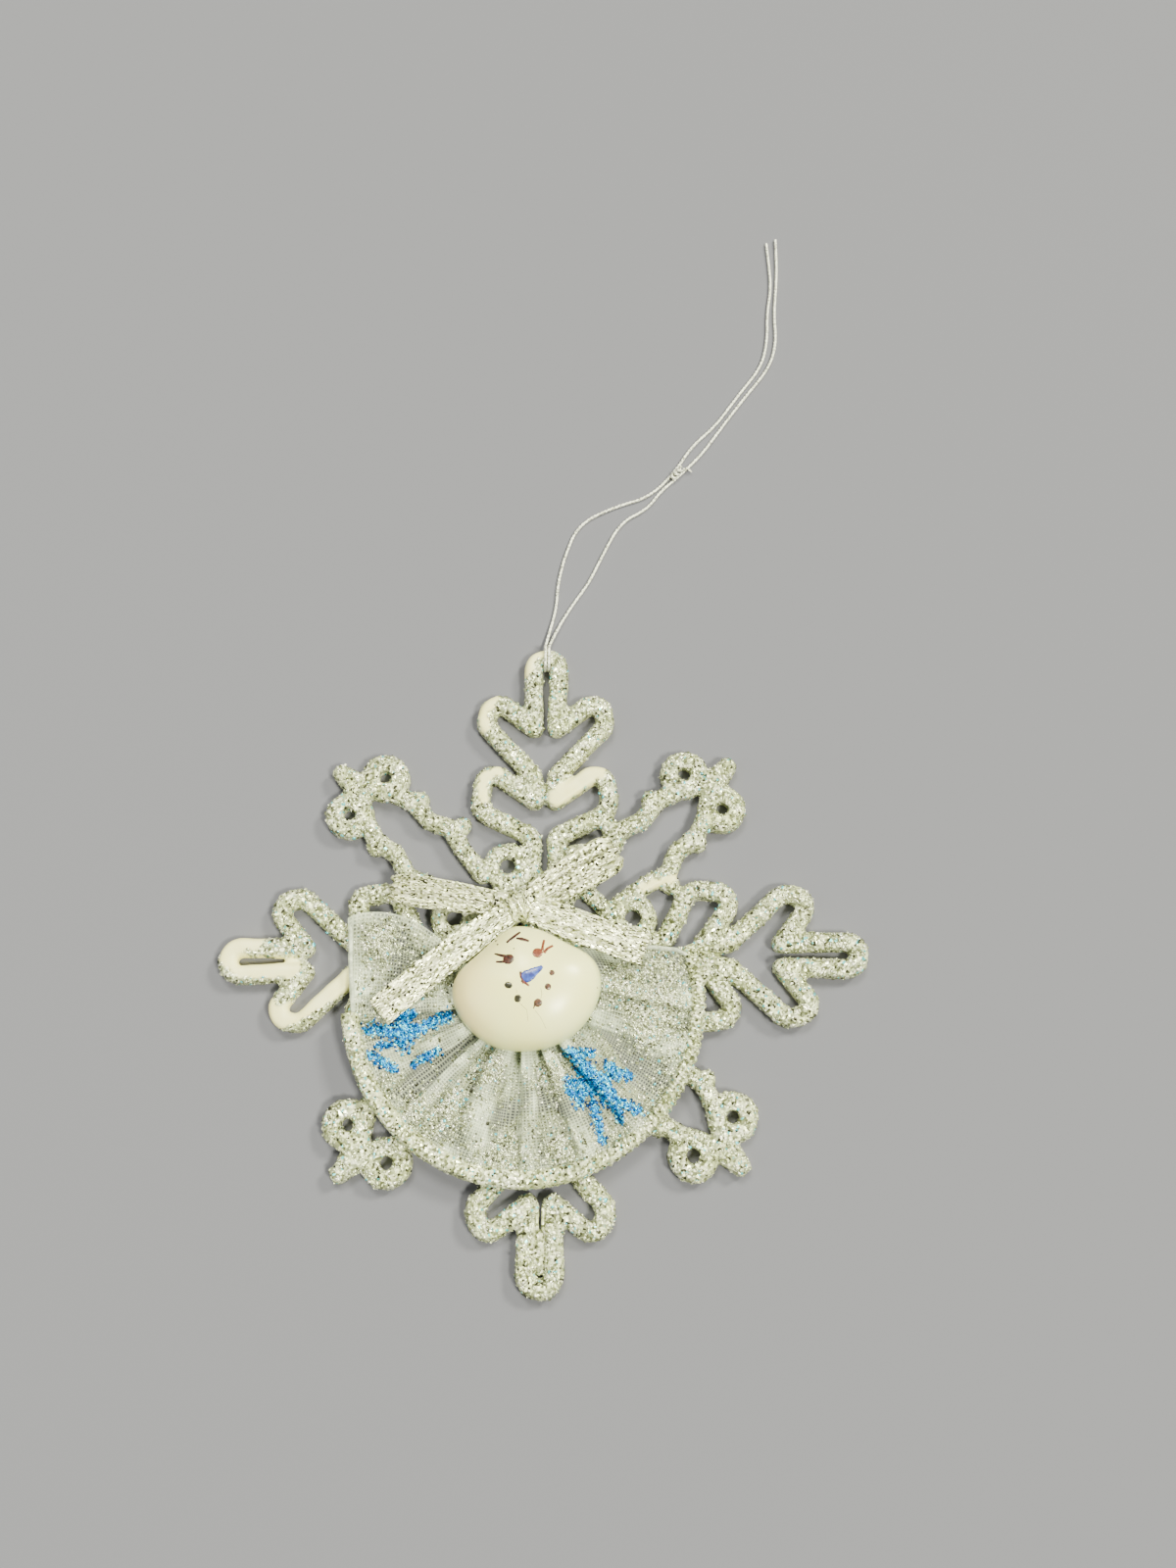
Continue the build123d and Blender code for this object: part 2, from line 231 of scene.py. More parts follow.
def flakes(name, places, normals, size, tilt, thickness=0.03 * MM, lift=0.0):
    """Thin square glitter flakes lying on a surface, each with its own spin, tilt and tone."""
    count = len(places)
    lean = normals + tilt * rng.normal(size=(count, 3))
    lean /= np.linalg.norm(lean, axis=1)[:, None]
    spin = rng.normal(size=(count, 3))
    along = spin - lean * (spin * lean).sum(1)[:, None]
    along /= np.linalg.norm(along, axis=1)[:, None]
    across = np.cross(lean, along)
    half = rng.uniform(*size, count)[:, None] / 2
    stretch = rng.uniform(0.6, 1.0, count)[:, None]
    centre = places + normals * lift
    verts = np.empty((count, 8, 3))
    for level, rise in enumerate((-thickness / 2, thickness / 2)):
        for k, (s, t) in enumerate(((-1, -1), (1, -1), (1, 1), (-1, 1))):
            verts[:, 4 * level + k] = centre + s * half * along + t * half * stretch * across + rise * lean
    box = ((3, 2, 1, 0), (4, 5, 6, 7), (0, 1, 5, 4), (1, 2, 6, 5), (2, 3, 7, 6), (3, 0, 4, 7))
    start = np.arange(count)[:, None, None] * 8
    faces = (start + np.array(box)[None]).reshape(-1, 4)
    mesh = bpy.data.meshes.new(name)
    mesh.vertices.add(count * 8)
    mesh.vertices.foreach_set("co", verts.astype(np.float32).ravel())
    mesh.loops.add(faces.size)
    mesh.loops.foreach_set("vertex_index", faces.astype(np.int32).ravel())
    mesh.polygons.add(len(faces))
    mesh.polygons.foreach_set("loop_start", np.arange(0, faces.size, 4, dtype=np.int32))
    mesh.update(calc_edges=True)
    mesh.validate()
    obj = bpy.data.objects.new(name, mesh)
    scene.collection.objects.link(obj)
    set_value(obj, "tone", np.repeat(rng.random(count), 8))
    return obj


# ------------------------------------------------------------------ material helpers
def new_material(name, **values):
    material = bpy.data.materials.new(name)
    material.use_nodes = True
    shader = material.node_tree.nodes["Principled BSDF"]
    for key, value in values.items():
        shader.inputs[key.replace("_", " ")].default_value = value
    return material, material.node_tree, shader


def wire(shader, **sources):
    """Links other nodes' outputs to the shader's inputs."""
    for key, source in sources.items():
        shader.id_data.links.new(source, shader.inputs[key.replace("_", " ")])


def put(tree, kind, inputs=(), **settings):
    """Adds a node; each input is (socket, value or another node's output)."""
    made = tree.nodes.new(kind)
    for key, value in settings.items():
        setattr(made, key, value)
    for socket, value in inputs:
        if isinstance(value, bpy.types.NodeSocket):
            tree.links.new(value, made.inputs[socket])
        else:
            made.inputs[socket].default_value = value
    return made


def math_node(tree, operation, a, b=0.0, clamp=False):
    return put(tree, "ShaderNodeMath", [(0, a), (1, b)], operation=operation, use_clamp=clamp).outputs[0]


def ramp(tree, factor, stops, constant=False):
    """A colour ramp; stops are (position, (r, g, b))."""
    made = put(tree, "ShaderNodeValToRGB", [("Fac", factor)])
    made.color_ramp.interpolation = "CONSTANT" if constant else "LINEAR"
    elements = made.color_ramp.elements
    elements[0].position, elements[0].color = stops[0][0], (*stops[0][1], 1)
    elements[1].position, elements[1].color = stops[-1][0], (*stops[-1][1], 1)
    for place, colour in stops[1:-1]:
        elements.new(place).color = (*colour, 1)
    return made.outputs["Color"]


def ranged(tree, value, low, high, to_low, to_high):
    made = put(tree, "ShaderNodeMapRange", [(0, value), (1, low), (2, high), (3, to_low), (4, to_high)])
    return made.outputs[0]


def mixed(tree, factor, a, b):
    made = put(tree, "ShaderNodeMix", [(0, factor), (6, a), (7, b)], data_type="RGBA")
    return made.outputs[2]


def object_place(tree):
    return put(tree, "ShaderNodeTexCoord").outputs["Object"]


def vertex_value(tree, name):
    """A float attribute of the mesh, as set_value stores it."""
    return put(tree, "ShaderNodeAttribute", attribute_name=name).outputs["Fac"]


def clouds(tree, place, scale, detail=3.0):
    """Soft noise between 0 and 1."""
    made = put(tree, "ShaderNodeTexNoise", [("Vector", place), ("Scale", scale), ("Detail", detail)])
    return made.outputs[0]


def cell_colour(tree, place, scale, randomness=1.0):
    """A random colour for each Voronoi cell."""
    made = put(
        tree, "ShaderNodeTexVoronoi", [("Vector", place), ("Scale", scale), ("Randomness", randomness)],
    )
    return made.outputs["Color"]


def channels(tree, colour):
    return put(tree, "ShaderNodeSeparateColor", [(0, colour)]).outputs


def tilted_normal(tree, colour, amount):
    """The surface normal leaned at random by a cell colour, as a flake lies."""
    lean = put(tree, "ShaderNodeVectorMath", [(0, colour), (1, (0.5, 0.5, 0.5))], operation="SUBTRACT")
    scaled = put(tree, "ShaderNodeVectorMath", [(0, lean.outputs[0]), ("Scale", amount)], operation="SCALE")
    normal = put(tree, "ShaderNodeNewGeometry").outputs["Normal"]
    total = put(tree, "ShaderNodeVectorMath", [(0, scaled.outputs[0]), (1, normal)], operation="ADD")
    return put(tree, "ShaderNodeVectorMath", [(0, total.outputs[0])], operation="NORMALIZE").outputs[0]


def bumped(tree, height, strength, distance):
    made = put(tree, "ShaderNodeBump", [("Strength", strength), ("Distance", distance), ("Height", height)])
    return made.outputs["Normal"]


SILVER_TONES = [
    (0.0, (0.04, 0.04, 0.02)), (0.05, (0.26, 0.28, 0.16)), (0.24, (0.52, 0.56, 0.38)),
    (0.55, (0.82, 0.86, 0.62)), (0.78, (1.0, 1.0, 0.88)), (0.975, (0.15, 0.70, 0.90)),
]
BLUE_TONES = [
    (0.0, (0.0, 0.03, 0.14)), (0.14, (0.0, 0.09, 0.38)), (0.36, (0.0, 0.24, 0.66)),
    (0.66, (0.0, 0.52, 0.95)), (0.90, (0.35, 1.0, 1.0)),
]


def flake_material(name, tones, metallic, rough):
    """Glitter flakes: each takes its colour and roughness from its own tone."""
    material, tree, shader = new_material(name, Metallic=metallic)
    tone = vertex_value(tree, "tone")
    wire(shader, Base_Color=ramp(tree, tone, tones, constant=True))
    spread = math_node(tree, "FRACT", math_node(tree, "MULTIPLY", tone, 37.0))
    wire(shader, Roughness=ranged(tree, spread, 0.0, 1.0, *rough))
    return material


def glitter_material(name, cell, bare=False, tilt=1.1):
    """Glitter glue over cream plastic; where the bare attribute is 1 the plastic shows."""
    material, tree, shader = new_material(name)
    place = object_place(tree)
    colour = cell_colour(tree, place, 1 / cell)
    red, green = channels(tree, colour)[:2]
    glitter = ramp(tree, red, SILVER_TONES, constant=True)
    patchy = clouds(tree, place, 220.0)
    shade = ramp(tree, patchy, [(0.3, (0.74, 0.76, 0.56)), (0.7, (1.0, 1.0, 0.96))])
    glitter = put(
        tree, "ShaderNodeMix", [(0, 1.0), (6, glitter), (7, shade)], data_type="RGBA", blend_type="MULTIPLY",
    ).outputs[2]
    rough = ranged(tree, green, 0.0, 1.0, 0.18, 0.50)
    if bare:
        mask = vertex_value(tree, "bare")
        cream = ramp(tree, patchy, [(0.25, (0.95, 0.88, 0.40)), (0.75, (1.0, 0.97, 0.54))])
        wire(shader, Base_Color=mixed(tree, mask, glitter, cream))
        wire(shader, Metallic=ranged(tree, mask, 0.0, 1.0, 0.30, 0.0))
        rough = put(tree, "ShaderNodeMix", [(0, mask), (2, rough), (3, 0.42)], data_type="FLOAT").outputs[0]
        wire(shader, Roughness=rough)
        lean = ranged(tree, mask, 0.0, 1.0, tilt, 0.0)
        wire(shader, Normal=tilted_normal(tree, colour, lean))
    else:
        wire(shader, Base_Color=glitter)
        shader.inputs["Metallic"].default_value = 0.30
        wire(shader, Roughness=rough)
        wire(shader, Normal=tilted_normal(tree, colour, tilt))
    return material


FILAMENT = 0.25 * MM


def thread_material(name, base, dark):
    """Twisted metallic thread: fine bright filaments, with darker cells painted in as the shade of the gaps
    between them.
    """
    material, tree, shader = new_material(name, Metallic=0.35)
    place = object_place(tree)
    colour = cell_colour(tree, place, 1 / FILAMENT)
    red = channels(tree, colour)[0]
    filaments = ramp(tree, red, [(0.0, dark), (0.3, base), (0.8, (1.0, 1.0, 0.92))])
    wire(shader, Base_Color=filaments)
    wire(shader, Roughness=ranged(tree, red, 0.0, 1.0, 0.25, 0.55))
    wire(shader, Normal=tilted_normal(tree, colour, 0.5))
    return material


silver_thread = thread_material("silver_thread", (0.80, 0.80, 0.70), (0.30, 0.30, 0.24))

# ------------------------------------------------------------------ hanging thread
LEFT_STRAND = [
    (-0.26, 58.63, 1.0), (0.5, 61.8, 0.45), (1.7, 66.5, 0.3), (2.0, 72.0, 0.3), (3.4, 78.0, 0.3),
    (6.0, 84.4, 0.3), (13.0, 88.0, 0.3), (19.6, 90.0, 0.3), (24.6, 95.2, 0.3), (28.2, 101.2, 0.3),
    (33.0, 105.6, 0.3), (37.6, 112.4, 0.3), (42.6, 119.0, 0.3), (43.9, 125.4, 0.3), (44.0, 131.0, 0.3),
    (45.0, 137.0, 0.3), (44.8, 142.6, 0.3), (44.4, 147.8, 0.3),
]
RIGHT_STRAND = [
    (0.46, 58.63, 1.0), (1.7, 61.8, 0.45), (4.3, 66.6, 0.3), (8.0, 72.0, 0.3), (10.5, 77.6, 0.3),
    (14.0, 84.6, 0.3), (19.2, 87.4, 0.3), (22.0, 91.4, 0.3), (25.6, 94.6, 0.3), (30.2, 99.4, 0.3),
    (34.2, 105.3, 0.3), (38.8, 111.8, 0.3), (44.2, 118.8, 0.3), (45.7, 124.8, 0.3), (45.4, 130.8, 0.3),
    (46.0, 136.8, 0.3), (46.4, 142.8, 0.3), (46.3, 148.7, 0.3),
]
THREAD_RADIUS = 0.3 * MM
THREAD_PITCH = 1.5 * MM
THREAD_STEP = 0.12 * MM


def twisted(step, radius, plies=2, depth=0.28):
    """Radius of a thread laid up from plies: ridges that turn along it."""
    def at(i, angle):
        turn = plies * (angle - 2 * math.pi * i * step / THREAD_PITCH)
        return radius * (1 - depth / 2 + depth / 2 * math.cos(turn))
    return at


for side, route in (("left", LEFT_STRAND), ("right", RIGHT_STRAND)):
    centre_line = evenly(nurbs_line([tuple(MM * c for c in p) for p in route]), THREAD_STEP)
    strand = tube(
        f"hanging_thread_{side}", centre_line, twisted(THREAD_STEP, THREAD_RADIUS), around=12,
    )
    dress(strand, silver_thread, "hanger", [f"thread_{side}"])

# overhand knot that ties the two strands, with its cut end
knot_low, knot_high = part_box("thread_knot")
knot_middle = (knot_low + knot_high) / 2
KNOT_BEARING = math.radians(47.0)   # the way the strands run through the knot
COIL_POINTS = 200
COIL_TURNS = 3.2
COIL_LENGTH = 3.2
COIL_REACH = 0.50
knot_along = np.array((math.cos(KNOT_BEARING), math.sin(KNOT_BEARING), 0))
knot_side = np.array((-math.sin(KNOT_BEARING), math.cos(KNOT_BEARING), 0))
coil = []
for i in range(COIL_POINTS):
    share = i / (COIL_POINTS - 1)
    turn = 2 * math.pi * COIL_TURNS * share
    swell = COIL_REACH * MM * (0.75 + 0.35 * math.sin(math.pi * share))
    along = (share - 0.5) * COIL_LENGTH * MM + 0.18 * MM * math.sin(2.1 * turn)
    coil.append(
        np.array(knot_middle) + along * knot_along
        + swell * math.cos(turn) * knot_side + np.array((0, 0, swell * math.sin(turn) * 0.9))
    )
coil_line = evenly(coil, THREAD_STEP)
thread_knot = tube("hanging_thread_knot", coil_line, twisted(THREAD_STEP, 0.27 * MM), around=10)
dress(thread_knot, silver_thread, "hanger", ["thread_knot"])
end_start = np.array(knot_middle) + 1.5 * MM * knot_along - 0.3 * MM * knot_side
cut_end = [end_start + np.array(move) * MM for move in ((0, 0, 0), (0.9, 0.1, -0.1), (1.7, -0.5, -0.35))]
thread_end = tube(
    "hanging_thread_cut_end", evenly(cut_end, THREAD_STEP), twisted(THREAD_STEP, 0.2 * MM), around=8,
)
dress(thread_end, silver_thread, "hanger")

# ------------------------------------------------------------------ snowflake
BARE_RUNS = [  # where the glitter has worn or missed: half width, then (x, y) along the moulding
    (1.1, [(-3.7, 52.6), (-2.9, 55.4), (-0.7, 57.0)]),
    (1.1, [(-11.3, 41.8), (-11.6, 45.2), (-9.6, 47.4)]),
    (1.0, [(-11.2, 28.3), (-11.2, 32.6), (-8.6, 33.6)]),
    (1.8, [(2.3, 28.6), (6.1, 31.6), (9.6, 33.8)]),
    (2.0, [(-51.0, 2.6), (-54.6, 1.7), (-55.4, -0.6), (-52.4, -2.4), (-44.6, -2.4)]),
    (2.1, [(-48.3, -9.2), (-46.8, -11.2), (-43.6, -10.4), (-34.5, -4.4)]),
    (0.8, [(24.4, 14.1), (21.9, 13.2), (17.8, 12.0)]),
]
BARE_EDGE = 0.35            # width of the ragged edge


def from_line(points, line):
    """Distance in the XY plane from each point to a run of straight pieces."""
    best = np.full(len(points), 1e9)
    for start, end in zip(line, line[1:]):
        start, end = np.array(start), np.array(end)
        run = end - start
        share = np.clip(((points - start) @ run) / run.dot(run), 0, 1)
        best = np.minimum(best, np.linalg.norm(points - start - share[:, None] * run, axis=1))
    return best


def bareness(places):
    """1 on bare plastic, 0 under glitter, with a ragged edge."""
    flat = places[:, :2] / MM
    x, y = flat[:, 0], flat[:, 1]
    ragged = 0.5 * np.sin(2.1 * x + 1.3 * y) + 0.4 * np.sin(3.7 * y - 2.2 * x)
    bare = np.zeros(len(places))
    for half, line in BARE_RUNS:
        inside = (half + BARE_EDGE * ragged - from_line(flat, line)) / BARE_EDGE
        bare = np.maximum(bare, np.clip(inside, 0, 1))
    return bare


VOXEL = 0.40
GLITTER_CELL = 0.42
BACK_HEIGHT = 0.8           # below this the moulding rests on its back, smooth and bare
GRAIN_SIZE, GRAIN_HEIGHT = 0.55, 0.16
LUMP_SIZE, LUMP_HEIGHT = 3.0, 0.16
SHRINK = 0.03               # leaves room for the grain inside the moulding's own box
FRAME_FLAKES = 14000
snowflake = bpy.data.objects.new("snowflake_glittered", nodes["snowflake_frame"].data.copy())
scene.collection.objects.link(snowflake)
remesh = snowflake.modifiers.new("remesh", "REMESH")
remesh.mode = "VOXEL"
remesh.voxel_size = VOXEL * MM
remesh.use_smooth_shade = True
soften = snowflake.modifiers.new("soften", "SMOOTH")
soften.iterations = 3
soften.factor = 0.5
applied(snowflake)
co = np.array([v.co for v in snowflake.data.vertices], float)
normals = np.array([v.normal for v in snowflake.data.vertices], float)
bare = bareness(co)
back = np.clip(co[:, 2] / (BACK_HEIGHT * MM), 0, 1)
grain = np.array([noise.noise(Vector(p) / (GRAIN_SIZE * MM)) for p in co])
lumps = np.array([noise.noise(Vector(p) / (LUMP_SIZE * MM)) for p in co])
rise = MM * (GRAIN_HEIGHT * grain * (1 - bare) * back + LUMP_HEIGHT * lumps * back - SHRINK)
snowflake.data.vertices.foreach_set("co", (co + normals * rise[:, None]).ravel())
snowflake.data.update()
snowflake.data.polygons.foreach_set("use_smooth", [True] * len(snowflake.data.polygons))
set_value(snowflake, "bare", np.maximum(bare, 1 - back))
snowflake_glitter = glitter_material("snowflake_glitter", GLITTER_CELL * MM, bare=True)
dress(snowflake, snowflake_glitter, replaces=["snowflake_frame"])

SLOT_FILLS = [  # glitter glue that has run into the lower arm's slot: start, end, half width
    ((0.0, -46.2), (0.0, -53.6), 0.95), ((-0.55, -42.0), (-0.5, -47.0), 0.36),
    ((0.55, -42.0), (0.5, -47.0), 0.36),
]
FILL_Z = 1.55
FILL_HALF_HEIGHT = 1.15
glitter_only = glitter_material("glitter_glue", GLITTER_CELL * MM)
for number, (start, end, half) in enumerate(SLOT_FILLS):
    run = evenly(np.array([(*start, FILL_Z), (*end, FILL_Z)]) * MM, 0.25 * MM)

    def glue_radius(i, angle, half=half, count=len(run), number=number):
        taper = math.sqrt(max(0.05, 1 - (2 * i / (count - 1) - 1) ** 8))
        tall = FILL_HALF_HEIGHT / half
        shape = 1 / math.hypot(math.cos(angle), math.sin(angle) / tall)
        return half * MM * shape * taper * (1 + 0.12 * noise.noise((i * 0.5, 2 * angle, number)))

    fill = tube(f"glitter_glue_{number + 1}", run, glue_radius, around=14)
    dress(fill, glitter_only)

silver_flake = flake_material("silver_flake", SILVER_TONES, 0.6, (0.12, 0.40))
places, facing = scatter(
    snowflake, FRAME_FLAKES, weight=lambda p: (1 - bareness(p)) * (p[:, 2] > 0.7 * MM), up=0.0,
)
frame_flakes = flakes("snowflake_flakes", places, facing, (0.30 * MM, 0.72 * MM), 0.40, lift=0.03 * MM)
dress(frame_flakes, silver_flake)

# hitch round the top bar: two turns side by side, squarish like the bar's section
HITCH_SPREAD = 0.33         # from the hitch's middle to the middle of each turn
HITCH_POINTS = 150
HITCH_STEP = 0.1 * MM
SQUARENESS = 5
hitch_low, hitch_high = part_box("thread_hitch")
hitch_middle = (hitch_low + hitch_high) / 2
half_y = (hitch_high.y - hitch_low.y) / 2 - THREAD_RADIUS
half_z = (hitch_high.z - hitch_low.z) / 2 - THREAD_RADIUS
for number, shift in enumerate((-HITCH_SPREAD, HITCH_SPREAD)):
    ring = []
    for i in range(HITCH_POINTS):
        turn = 2 * math.pi * i / HITCH_POINTS
        c, s = math.cos(turn), math.sin(turn)
        outward = (abs(c) ** SQUARENESS + abs(s) ** SQUARENESS) ** (-1 / SQUARENESS)
        ring.append((
            hitch_middle.x + shift * MM + 0.12 * MM * s, hitch_middle.y + half_y * outward * c,
            hitch_middle.z + half_z * outward * s,
        ))
    hitch_turn = f"thread_hitch_turn_{number + 1}"
    loop = tube(hitch_turn, ring, twisted(HITCH_STEP, THREAD_RADIUS), around=10, closed=True)
    dress(loop, silver_thread, replaces=["thread_hitch"])

# ------------------------------------------------------------------ organza ruffle
FAN_X, FAN_Y = -3.1, -8.0
CORNER = (-34.4, 6.0)
FAN_START = 180 - math.degrees(math.atan2(CORNER[1] - FAN_Y, FAN_X - CORNER[0]))
FAN_END = 378.0
HEM_START = 185.0
CLOTH_OUT = 29.9
CLOTH_IN = 7.4
FOLDS = 10
LEFT_BULGE = 11.0           # degrees that the left end swings out between the gather and the hem
TOP_EDGE = 8.9              # height of the right end's level edge above the fan's middle
STRIP = (25.4, 130.0)       # the ribbon of organza before it was gathered
LOW_Z, HIGH_Z = 3.15, 5.35


def fan_point(radius, turn, z):
    return (FAN_X + radius * math.cos(turn), FAN_Y + radius * math.sin(turn), z)


def fan_edge(turn):
    """Reach of the cloth in a direction: the round hem, or the straight selvedge on the left."""
    if math.degrees(turn) >= HEM_START:
        return CLOTH_OUT
    low = fan_point(CLOTH_OUT, math.radians(HEM_START), 0)
    run = (low[0] - CORNER[0], low[1] - CORNER[1])
    aim = (math.cos(turn), math.sin(turn))
    out = (CORNER[0] - FAN_X, CORNER[1] - FAN_Y)
    return (out[0] * run[1] - out[1] * run[0]) / (aim[0] * run[1] - aim[1] * run[0])


def fold_phase(share):
    """Uneven folds: some panels are wide and flat, others are narrow."""
    return 2 * math.pi * FOLDS * (
        share + 0.012 * math.sin(2 * math.pi * 3.1 * share + 0.7)
        + 0.009 * math.sin(2 * math.pi * 5.3 * share + 2.0)
    )


WEAVE_PITCH = 0.56 * MM
CLOTH_FLAKES = 1300         # of each kind: over the whole cloth, and near the hem
HEM_FLAKES = 2600
rows, columns = 44, 640
verts, uvs, folded = [], [], []
for row in range(rows):
    out = row / (rows - 1)
    for column in range(columns):
        share = column / (columns - 1)
        phase = fold_phase(share)
        turn = math.radians(FAN_START + (FAN_END - FAN_START) * share)
        reach = CLOTH_IN + (fan_edge(turn) - CLOTH_IN) * out
        ends = min(1.0, 14 * share, 14 * (1 - share))
        sway = ends * (0.85 * (1 - 0.45 * out) * math.sin(2 * phase) - 0.5 * math.cos(phase) * (1 - out))
        crush = 0.5 * ends * noise.noise((share * 90, out * 3, 0.5)) * (1 - out) ** 0.5
        turn -= (sway + crush) / reach
        near_left = (max(0.0, 0.10 - share) / 0.10) ** 1.5
        turn -= math.sin(math.pi * out) ** 0.8 * math.radians(LEFT_BULGE) * near_left
        level = math.asin(min(0.95, TOP_EDGE / reach)) - math.radians(FAN_END - 360)
        turn += max(0.0, level) * (max(0.0, share - 0.80) / 0.20) ** 1.5
        high = (0.5 + 0.5 * (1 - out) ** 0.4) * (0.75 + 0.25 * math.sin(7 * phase / FOLDS + 1.0))
        lift = 0.9 * np.clip((share - 0.22) / 0.1, 0, 1) * np.clip((0.84 - share) / 0.1, 0, 1)
        wave = high * math.sin(phase) + 0.25 * noise.noise((share * 60, out * 5, 3.5))
        middle = (LOW_Z + HIGH_Z) / 2
        z = middle + (HIGH_Z - LOW_Z) / 2 * max(-1, min(1, wave)) + lift * max(0, wave) * (1 - 0.8 * out ** 4)
        verts.append(tuple(MM * c for c in fan_point(reach, turn, z)))
        uvs.append((MM * STRIP[1] * share, MM * STRIP[0] * out))
        patch = 0.8 * noise.noise((share * 17, out * 2.6, 11.0))
        patch += 0.5 * noise.noise((share * 45, out * 6, 4.0))
        crowd = 0.75 * max(0.0, 0.42 - out) / 0.42 + 0.35 * max(0.0, out - 0.9) / 0.1
        folded.append(np.clip(0.28 + 0.34 * math.sin(phase + 0.9) + 1.25 * patch + crowd, 0, 1))
ruffle = add_mesh("organza_ruffle", verts, grid_faces(rows, columns))
set_uv(ruffle, uvs)
set_value(ruffle, "folded", folded)

organza, tree, shader = new_material("organza", Roughness=0.38, Sheen_Weight=0.25, Specular_IOR_Level=0.6)
strip_uv = put(tree, "ShaderNodeUVMap", uv_map="strip").outputs[0]
parts = put(tree, "ShaderNodeSeparateXYZ", [(0, strip_uv)]).outputs
threads = []
for axis in (0, 1):
    wave = math_node(tree, "SINE", math_node(tree, "MULTIPLY", parts[axis], 2 * math.pi / WEAVE_PITCH))
    threads.append(ranged(tree, wave, -0.1, 0.6, 0.0, 1.0))
weave = math_node(tree, "MAXIMUM", *threads)
cloudy = clouds(tree, object_place(tree), 260.0, 2.0)
folded_value = vertex_value(tree, "folded")
dense = math_node(tree, "MULTIPLY", ranged(tree, cloudy, 0.35, 0.65, 0.25, 0.60), folded_value)
open_share = ranged(tree, weave, 0.0, 1.0, 0.16, 0.52)
cover = math_node(tree, "ADD", open_share, dense, clamp=True)
wire(shader, Alpha=cover)
# one layer of cloth: the holes of the weave are near black, painted shade of the space beneath the cloth, and
# the threads are grey-green
single_layer_shaded_holes = mixed(tree, weave, (0.015, 0.018, 0.010, 1), (0.40, 0.44, 0.32, 1))
doubled = ramp(tree, cloudy, [(0.3, (0.40, 0.46, 0.34)), (0.7, (0.80, 0.88, 0.68))])
wire(shader, Base_Color=mixed(tree, folded_value, single_layer_shaded_holes, doubled))
wire(shader, Normal=bumped(tree, weave, 0.5, 0.05 * MM))
dress(ruffle, organza, replaces=["ruffle"])
ruffle_tree = tree_of(ruffle)


def drop(points, tree, lift=0.0):
    """Points put down from above onto a surface, with the surface's normals; misses are left out."""
    found, facing = [], []
    for x, y in points:
        hit, normal, _, _ = tree.ray_cast(Vector((x, y, 0.05)), Vector((0, 0, -1)))
        if hit is not None:
            normal = normal if normal.z > 0 else -normal
            found.append(np.array(hit) + lift * np.array(normal))
            facing.append(np.array(normal))
    return np.array(found), np.array(facing)


BLUE_PRINTS = [  # generic frost crystals in chunky glitter: (start, end, half width) of each branch
    ((-30.6, -13.2), (-24.0, -14.0), 1.2), ((-26.3, -10.9), (-22.0, -10.9), 0.8),
    ((-24.4, -11.2), (-23.6, -16.4), 1.5), ((-23.4, -14.4), (-15.8, -10.6), 1.1),
    ((-29.8, -17.6), (-24.8, -20.2), 0.9), ((-22.0, -19.2), (-17.8, -17.0), 0.8),
    ((-28.6, -15.6), (-26.0, -16.2), 0.7), ((4.2, -17.2), (8.6, -17.4), 1.0),
    ((5.6, -17.8), (9.7, -22.3), 1.4), ((4.4, -21.6), (6.6, -26.0), 1.0),
    ((5.2, -23.0), (9.6, -23.2), 1.5), ((11.0, -19.2), (15.4, -21.4), 0.9),
    ((9.7, -22.3), (13.0, -21.0), 1.1), ((9.7, -22.3), (12.0, -25.5), 1.6),
    ((11.9, -25.2), (17.3, -27.0), 0.9), ((8.8, -25.0), (10.4, -32.2), 0.8),
    ((12.8, -26.0), (13.6, -28.8), 0.7),
]
points = []
for start, end, half in BLUE_PRINTS:
    run = np.array(end) - np.array(start)
    count = int(30 * half * (np.linalg.norm(run) + half))
    share = rng.random(count)[:, None]
    ragged = rng.normal(size=(count, 2)) * half * 0.46
    points.append(np.array(start) + share * run + ragged)
places, facing = drop(np.concatenate(points) * MM, ruffle_tree, 0.05 * MM)
blue_flakes = flakes("frost_print_flakes", places, facing, (0.38 * MM, 0.76 * MM), 0.4)
dress(blue_flakes, flake_material("blue_flake", BLUE_TONES, 0.75, (0.25, 0.50)))

SILVER_PATCHES = [  # silver glitter on the cloth: (x, y, reach, count)
    (20.0, -9.0, 4.8, 1300), (14.0, -6.0, 3.4, 450), (-14.8, -27.0, 3.4, 520), (-28.0, 2.5, 3.2, 600),
    (-9.0, -20.0, 3.0, 350), (1.5, -21.0, 3.4, 450), (-20.0, -4.0, 4.0, 360), (21.0, -1.0, 3.5, 450),
    (-6.0, -34.0, 4.0, 450), (4.0, -33.0, 3.4, 350), (18.0, -14.0, 3.4, 300), (-21.0, -26.5, 2.6, 300),
]
points = [
    np.array((x, y)) + rng.normal(size=(count, 2)) * reach * 0.55 for x, y, reach, count in SILVER_PATCHES
]
spread_turn = np.radians(rng.uniform(FAN_START, FAN_END, 2 * CLOTH_FLAKES))
spread_reach = np.r_[rng.uniform(11, 29.5, CLOTH_FLAKES), rng.triangular(24.0, 29.4, 29.6, CLOTH_FLAKES)]
points.append(np.stack([
    FAN_X + spread_reach * np.cos(spread_turn), FAN_Y + spread_reach * np.sin(spread_turn),
], 1))
places, facing = drop(np.concatenate(points) * MM, ruffle_tree, 0.04 * MM)
cloth_flakes = flakes("ruffle_flakes", places, facing, (0.26 * MM, 0.62 * MM), 0.4)
dress(cloth_flakes, silver_flake)

